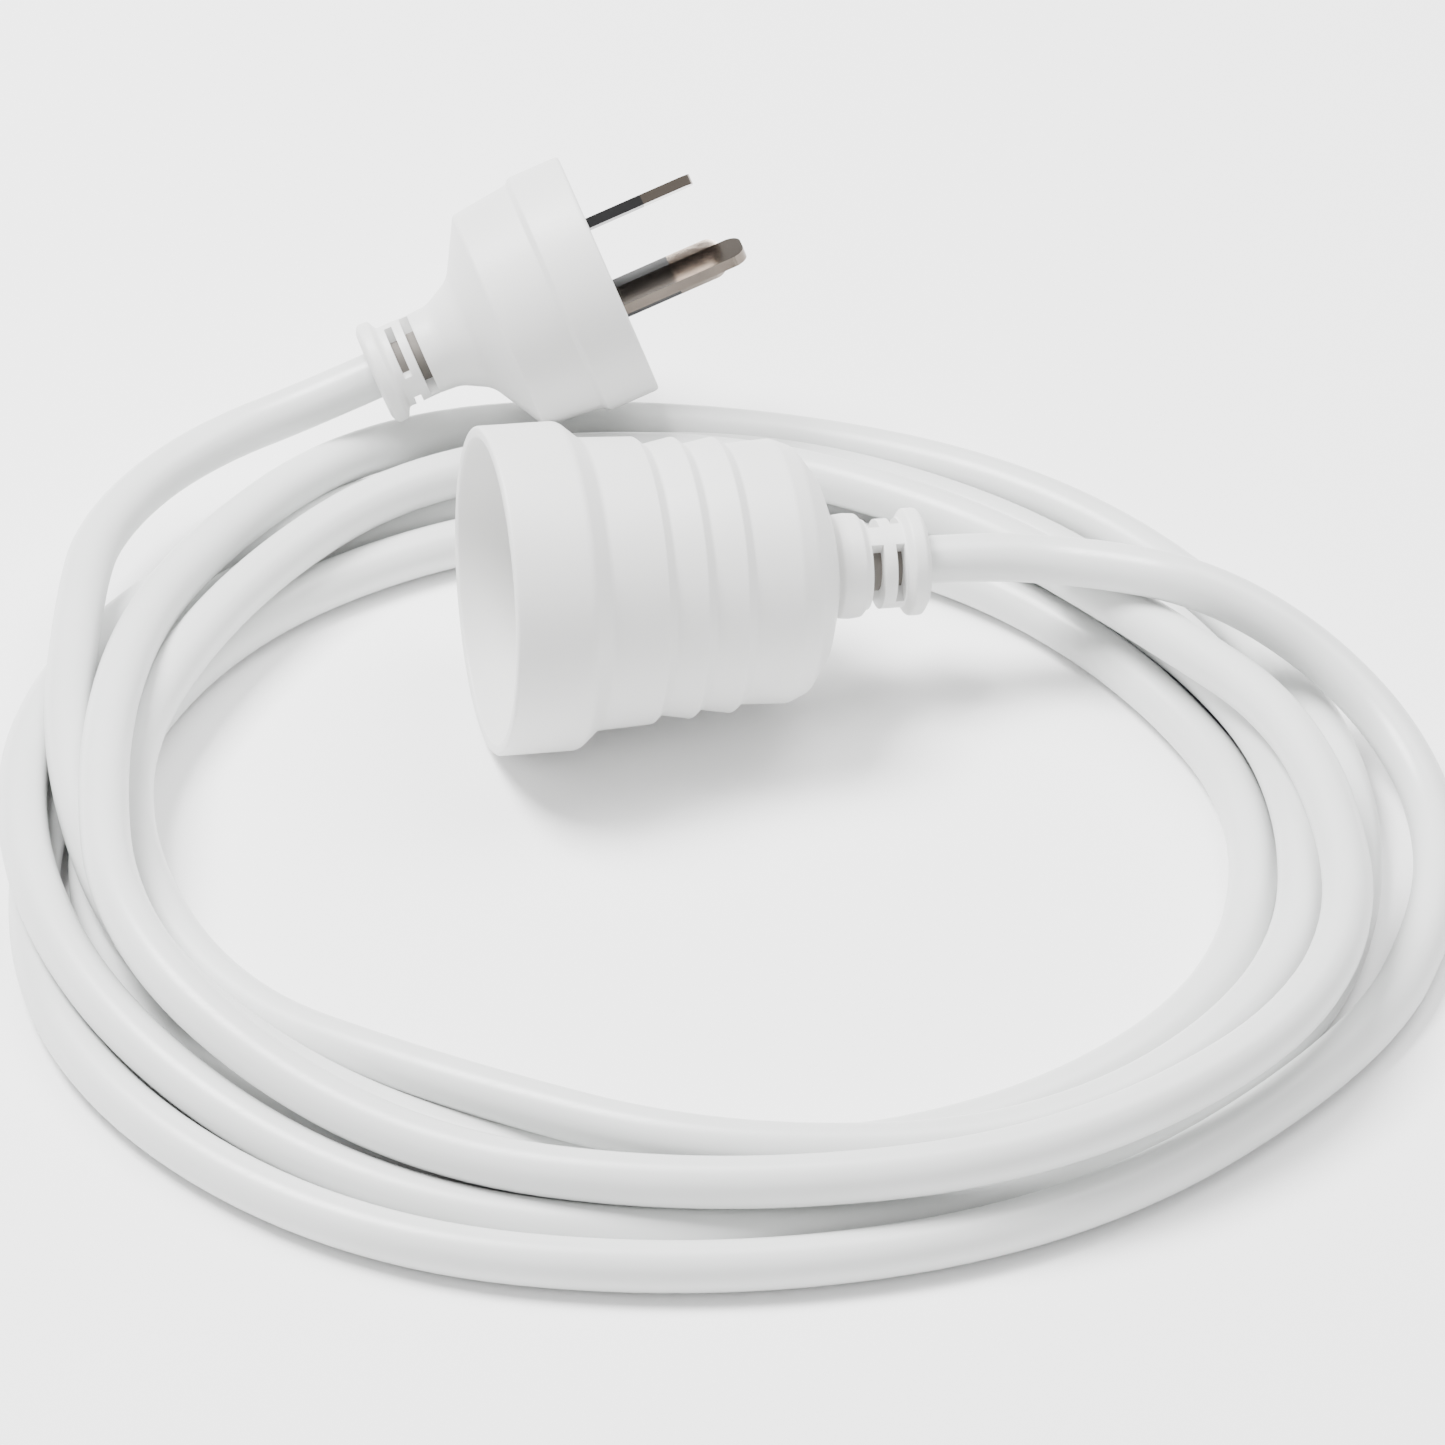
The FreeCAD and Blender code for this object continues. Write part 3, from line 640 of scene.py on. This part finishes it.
@dataclass
class Plug:
    """The moulded plug: a flange with a flat face, a tapered body, a bell and a neck."""

    base: Triple = (-17.6, 97.8, 32.0)
    forward: Triple = (0.916, 0.239, 0.324)
    upright: Triple = (-0.2015, 0.9675, -0.155)
    segments: int = 160
    outline: Sequence[Corner] = (
        Corner(0.0, 0.0),
        Corner(19.2, 0.0, 0.7),
        Corner(19.2, 8.2, 0.5),
        Corner(18.4, 9.0, 0.5),
        Corner(17.4, 18.1, 0.8),
        Corner(8.9, 22.9, 4.5),
        Corner(6.6, 27.2, 5.0),
        Corner(6.4, 30.45, 0.2),
        Corner(0.0, 30.45),
    )
    relief: StrainRelief = field(default_factory=lambda: StrainRelief(
        "plug_relief",
        ((6.3, 30.2), (6.4, 30.5), (6.4, 31.9), (6.45, 33.3), (6.45, 34.5), (6.4, 35.6),
         (8.0, 36.4), (8.0, 38.1), (6.8, 38.7)),
        (SlotRow(30.5, 31.9, 240.0, 150.0, 2), SlotRow(33.3, 34.5, 222.0, 84.0, 3)),
    ))

    def build(self, wardrobe: Wardrobe) -> list[bpy.types.Object]:
        """Build the moulding and its strain relief.

        Args:
            wardrobe: The finished materials.

        Returns:
            The new pieces.
        """
        place = axes_at(self.base, self.forward, self.upright)
        moulding = mesh_object("plug_body", turned_mesh(rounded_outline(self.outline), self.segments), place)
        relief = self.relief.build(place)
        for piece, node in ((moulding, "plug_moulding"), (relief, "plug_strain_relief")):
            wardrobe.dress(piece, Slot.MOULDING)
            # Sunk slot floors get the material with painted shade.
            wardrobe.paint_slot_shade(piece)
            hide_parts(node)
            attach(piece, BODY)
        return [moulding, relief]


@dataclass
class Socket:
    """The trailing socket: a wide shroud, a ringed grip, a dome and a strain relief."""

    base: Triple = (-34.7, 26.0, 24.8)
    forward: Triple = (-0.976, -0.207, 0.066)
    upright: Triple = (0.0, 0.0, 1.0)
    segments: int = 192
    shell: Sequence[Corner] = (
        Corner(0.0, 40.2),
        Corner(16.1, 40.2),
        Corner(16.1, 16.7),
        Corner(19.65, 16.7),
        Corner(19.65, 13.5, 0.2),
        Corner(22.1, 11.5, 0.8),
        Corner(22.1, 0.0, 0.5),
        Corner(24.0, 0.0, 0.6),
        Corner(24.0, 11.6, 2.2),
        Corner(21.4, 14.6, 1.6),
        Corner(21.0, 22.9, 0.5),
        Corner(19.75, 24.3, 0.7),
        Corner(20.6, 28.8, 0.5),
        Corner(19.4, 30.2, 0.7),
        Corner(20.2, 34.8, 0.5),
        Corner(19.05, 36.2, 0.7),
        Corner(19.4, 43.2, 2.0),
        Corner(18.2, 46.1, 2.5),
        Corner(14.2, 48.9, 4.0),
        Corner(9.7, 50.45, 1.0),
        Corner(0.0, 50.45),
    )
    relief: StrainRelief = field(default_factory=lambda: StrainRelief(
        "socket_relief",
        ((6.6, 50.3), (6.6, 51.3), (7.6, 51.9), (7.75, 53.6), (7.6, 55.2), (6.7, 56.0), (6.6, 56.4),
         (6.6, 58.2),
         (6.6, 60.0), (6.6, 61.3), (6.6, 61.6), (7.9, 62.4), (7.9, 64.3), (6.8, 65.0)),
        (SlotRow(56.4, 58.2, -15.0, 150.0, 2), SlotRow(60.0, 61.3, 18.0, 84.0, 3)),
    ))

    def build(self, wardrobe: Wardrobe) -> list[bpy.types.Object]:
        """Build the moulding and its strain relief.

        Args:
            wardrobe: The finished materials.

        Returns:
            The new pieces.
        """
        place = axes_at(self.base, self.forward, self.upright)
        moulding = mesh_object("socket_body", turned_mesh(rounded_outline(self.shell), self.segments), place)
        relief = self.relief.build(place)
        for piece, node in ((moulding, "socket_moulding"), (relief, "socket_strain_relief")):
            wardrobe.dress(piece, Slot.MOULDING)
            # Sunk slot floors get the material with painted shade.
            wardrobe.paint_slot_shade(piece)
            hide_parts(node)
            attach(piece, BODY)
        return [moulding, relief]


@dataclass
class Flex:
    """The white three-core flex: out of the socket, round its loose coil and into the plug."""

    diameter: float = 7.2
    length: float = 3250.0
    start_bearing: float = 180.0
    bearing_step: float = 30.0
    plug_lead: Sequence[Triple] = (
        (-53.1, 88.6, 19.5),
        (-64.1, 85.7, 15.6),
        (-76.0, 80.5, 13.5),
        (-85.5, 71.0, 13.0),
        (-92.0, 58.5, 13.3),
        (-94.8, 45.0, 14.0),
    )
    # Radius and height of the flex at each bearing, turn by turn from the plug, starting at the left.
    turns: Sequence[Sequence[Pair]] = (
        ((95.5, 13.0), (93.0, 10.5), (85.0, 3.6), (79.0, 3.6), (80.5, 3.6), (82.5, 3.6),
         (78.0, 3.6), (70.5, 3.6), (70.5, 3.6), (74.5, 3.6), (81.0, 3.6), (88.5, 3.6)),
        ((93.5, 3.6), (97.0, 3.6), (93.0, 3.6), (87.0, 3.6), (87.5, 4.0), (89.5, 3.6),
         (86.0, 3.6), (82.5, 3.6), (86.0, 3.6), (92.0, 4.5), (97.0, 3.6), (104.0, 3.6)),
        ((104.5, 11.0), (103.5, 10.0), (100.5, 4.5), (95.0, 3.6), (95.0, 3.6), (97.0, 3.6),
         (93.5, 3.6), (91.5, 4.0), (95.5, 3.6), (99.0, 3.6), (106.5, 7.5), (95.5, 12.5)),
        ((90.0, 19.0), (97.5, 18.0), (94.5, 9.5), (93.0, 11.0), (100.5, 14.0), (103.0, 15.5),
         (85.0, 18.5), (70.5, 13.5), (74.5, 10.0), (81.0, 11.0), (90.5, 10.5), (86.5, 11.0)),
        ((89.5, 9.5), (85.0, 4.5), (78.0, 9.5), (85.0, 11.0), (93.0, 10.0), (93.0, 10.5),
         (83.0, 10.5), (76.5, 8.0), (78.0, 4.0), (82.0, 3.6), (90.0, 3.6), (96.0, 3.6)),
        ((101.0, 3.6), (109.0, 3.6), (108.5, 3.6), (102.0, 3.6), (102.5, 3.6), (104.0, 3.6)),
    )
    # From the last turn up over the coil, towards the socket.
    crossing: Sequence[Triple] = (
        (101.5, -22.0, 3.6),
        (102.5, -1.0, 4.3),
        (97.5, 14.5, 7.5),
        (88.5, 25.0, 12.5),
        (78.0, 30.5, 17.8),
        (67.5, 33.7, 21.2),
    )
    socket_lead: Sequence[Triple] = (
        (28.7, 39.5, 20.5),
        (38.5, 41.6, 19.8),
        (48.5, 41.0, 19.6),
        (57.5, 37.8, 20.6),
    )

    def coil_points(self) -> list[Vector]:
        """Work out the coil's turns about the centre of the ring."""
        points = []
        spots = [spot for turn in self.turns for spot in turn]
        for step, (radius, height) in enumerate(spots):
            bearing = math.radians(self.start_bearing + step * self.bearing_step)
            points.append(Vector((radius * math.cos(bearing), radius * math.sin(bearing), height)))
        return points

    def route(self) -> list[Vector]:
        """Control points from the socket to the plug, in metres."""
        from_plug = [Vector(point) for point in self.plug_lead] + self.coil_points()
        from_plug += [Vector(point) for point in self.crossing]
        from_plug += [Vector(point) for point in reversed(self.socket_lead)]
        return [(point + RING_CENTRE) * MM for point in reversed(from_plug)]

    def build(self) -> bpy.types.Object:
        """Build the flex as one round curve.

        Returns:
            The curve object.
        """
        points = self.route()
        curve = bpy.data.curves.new("flex", "CURVE")
        curve.dimensions = "3D"
        curve.resolution_u = 14
        curve.bevel_depth = 1.0
        curve.bevel_resolution = 9
        curve.use_fill_caps = True
        spline = curve.splines.new("NURBS")
        spline.points.add(len(points) - 1)
        for point, place in zip(spline.points, points):
            point.co = (*place, 1.0)
            # The curve's bounds reach its points' radius, so the flex's own radius is given here.
            point.radius = self.diameter / 2 * MM
        spline.order_u = 3
        spline.use_endpoint_u = True
        piece = bpy.data.objects.new("flex", curve)
        bpy.context.scene.collection.objects.link(piece)
        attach(piece, BODY)
        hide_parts("coil", "plug_lead", "socket_lead")
        return piece

    def declare(self) -> None:
        """Work out the first point of the route; nothing is kept or reported.
        """
        tuple(self.route()[0])


@dataclass
class CarriedNodes:
    """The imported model's own pieces, which keep their shapes and get their finishes."""

    soft_edge: float = 0.12

    def dress(self, wardrobe: Wardrobe) -> int:
        """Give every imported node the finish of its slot.

        Args:
            wardrobe: The finished materials.

        Returns:
            How many nodes were dressed.
        """
        slots = {row["node"]: Slot(row["material_slot"]) for row in frame["record"]["subparts"]}
        for name, node in frame["nodes"].items():
            wardrobe.dress_node(node, slots[name])
            if slots[name] in (Slot.PIN, Slot.SLEEVE):
                self.soften(node)
        return len(slots)

    def soften(self, node: bpy.types.Object) -> None:
        """Break the sharp edges of a stamped piece."""
        bevel = node.modifiers.new("broken_edges", "BEVEL")
        bevel.width = self.soft_edge * MM
        bevel.segments = 2
        bevel.limit_method = "ANGLE"
        bevel.angle_limit = math.radians(40)


@dataclass
class Studio:
    """Camera, floor and lights."""

    camera_place: Triple = (-0.00016, -0.9910, 0.7625)
    camera_tilt: float = 53.0
    lens: float = 214.9
    floor_size: float = 6.0
    floor_colour: Triple = (0.97, 0.97, 0.97)
    world_strength: float = 0.82

    def add_camera(self) -> None:
        """Make the camera and set it."""
        data = bpy.data.cameras.new("camera")
        data.lens = self.lens
        data.sensor_width = 36.0
        camera = bpy.data.objects.new("camera", data)
        camera.location = self.camera_place
        camera.rotation_euler = (math.radians(self.camera_tilt), 0.0, 0.0)
        bpy.context.scene.collection.objects.link(camera)
        bpy.context.scene.camera = camera

    def add_floor(self) -> None:
        """Make the plain pale floor."""
        mesh = bmesh.new()
        bmesh.ops.create_grid(mesh, x_segments=2, y_segments=2, size=self.floor_size / 2)
        data = bpy.data.meshes.new("floor")
        mesh.to_mesh(data)
        mesh.free()
        floor = bpy.data.objects.new("floor", data)
        floor.location = (0.0, 0.0, -0.0001)
        bpy.context.scene.collection.objects.link(floor)
        material = bpy.data.materials.new("pale_floor")
        material.use_nodes = True
        shader = material.node_tree.nodes["Principled BSDF"]
        shader.inputs["Base Color"].default_value = (*self.floor_colour, 1.0)
        shader.inputs["Roughness"].default_value = 0.9
        data.materials.append(material)

    def add_light(self, name: str, place: Triple, size: float, power: float) -> None:
        """Add a soft square light that points at the lead."""
        data = bpy.data.lights.new(name, "AREA")
        data.shape = "SQUARE"
        data.size = size
        data.energy = power
        light = bpy.data.objects.new(name, data)
        light.location = place
        light.rotation_euler = (-Vector(place)).to_track_quat("-Z", "Y").to_euler()
        bpy.context.scene.collection.objects.link(light)

    def light(self) -> None:
        """Add the lights and the pale surroundings."""
        world = bpy.data.worlds.new("studio")
        world.use_nodes = True
        background = world.node_tree.nodes["Background"]
        background.inputs["Color"].default_value = (1.0, 1.0, 1.0, 1.0)
        background.inputs["Strength"].default_value = self.world_strength
        bpy.context.scene.world = world
        self.add_light("key", (-0.55, 0.25, 1.3), 0.6, 60.0)
        self.add_light("top", (0.45, 0.35, 1.3), 0.8, 18.0)


def main() -> None:
    """Build every piece in order and report it."""
    logging.basicConfig(level=logging.INFO, format="%(message)s")
    studio = Studio()
    studio.add_camera()
    coil = Flex()
    flex = coil.build()
    wardrobe = Wardrobe()
    wardrobe.dress(flex, Slot.SHEATH)
    log.info("flex laid")
    plug = Plug().build(wardrobe)
    coil.declare()
    for piece in plug + Socket().build(wardrobe):
        log.info("built %s", piece.name)
    log.info("dressed %d packed nodes", CarriedNodes().dress(wardrobe))
    studio.add_floor()
    studio.light()


if __name__ == "__main__":
    main()
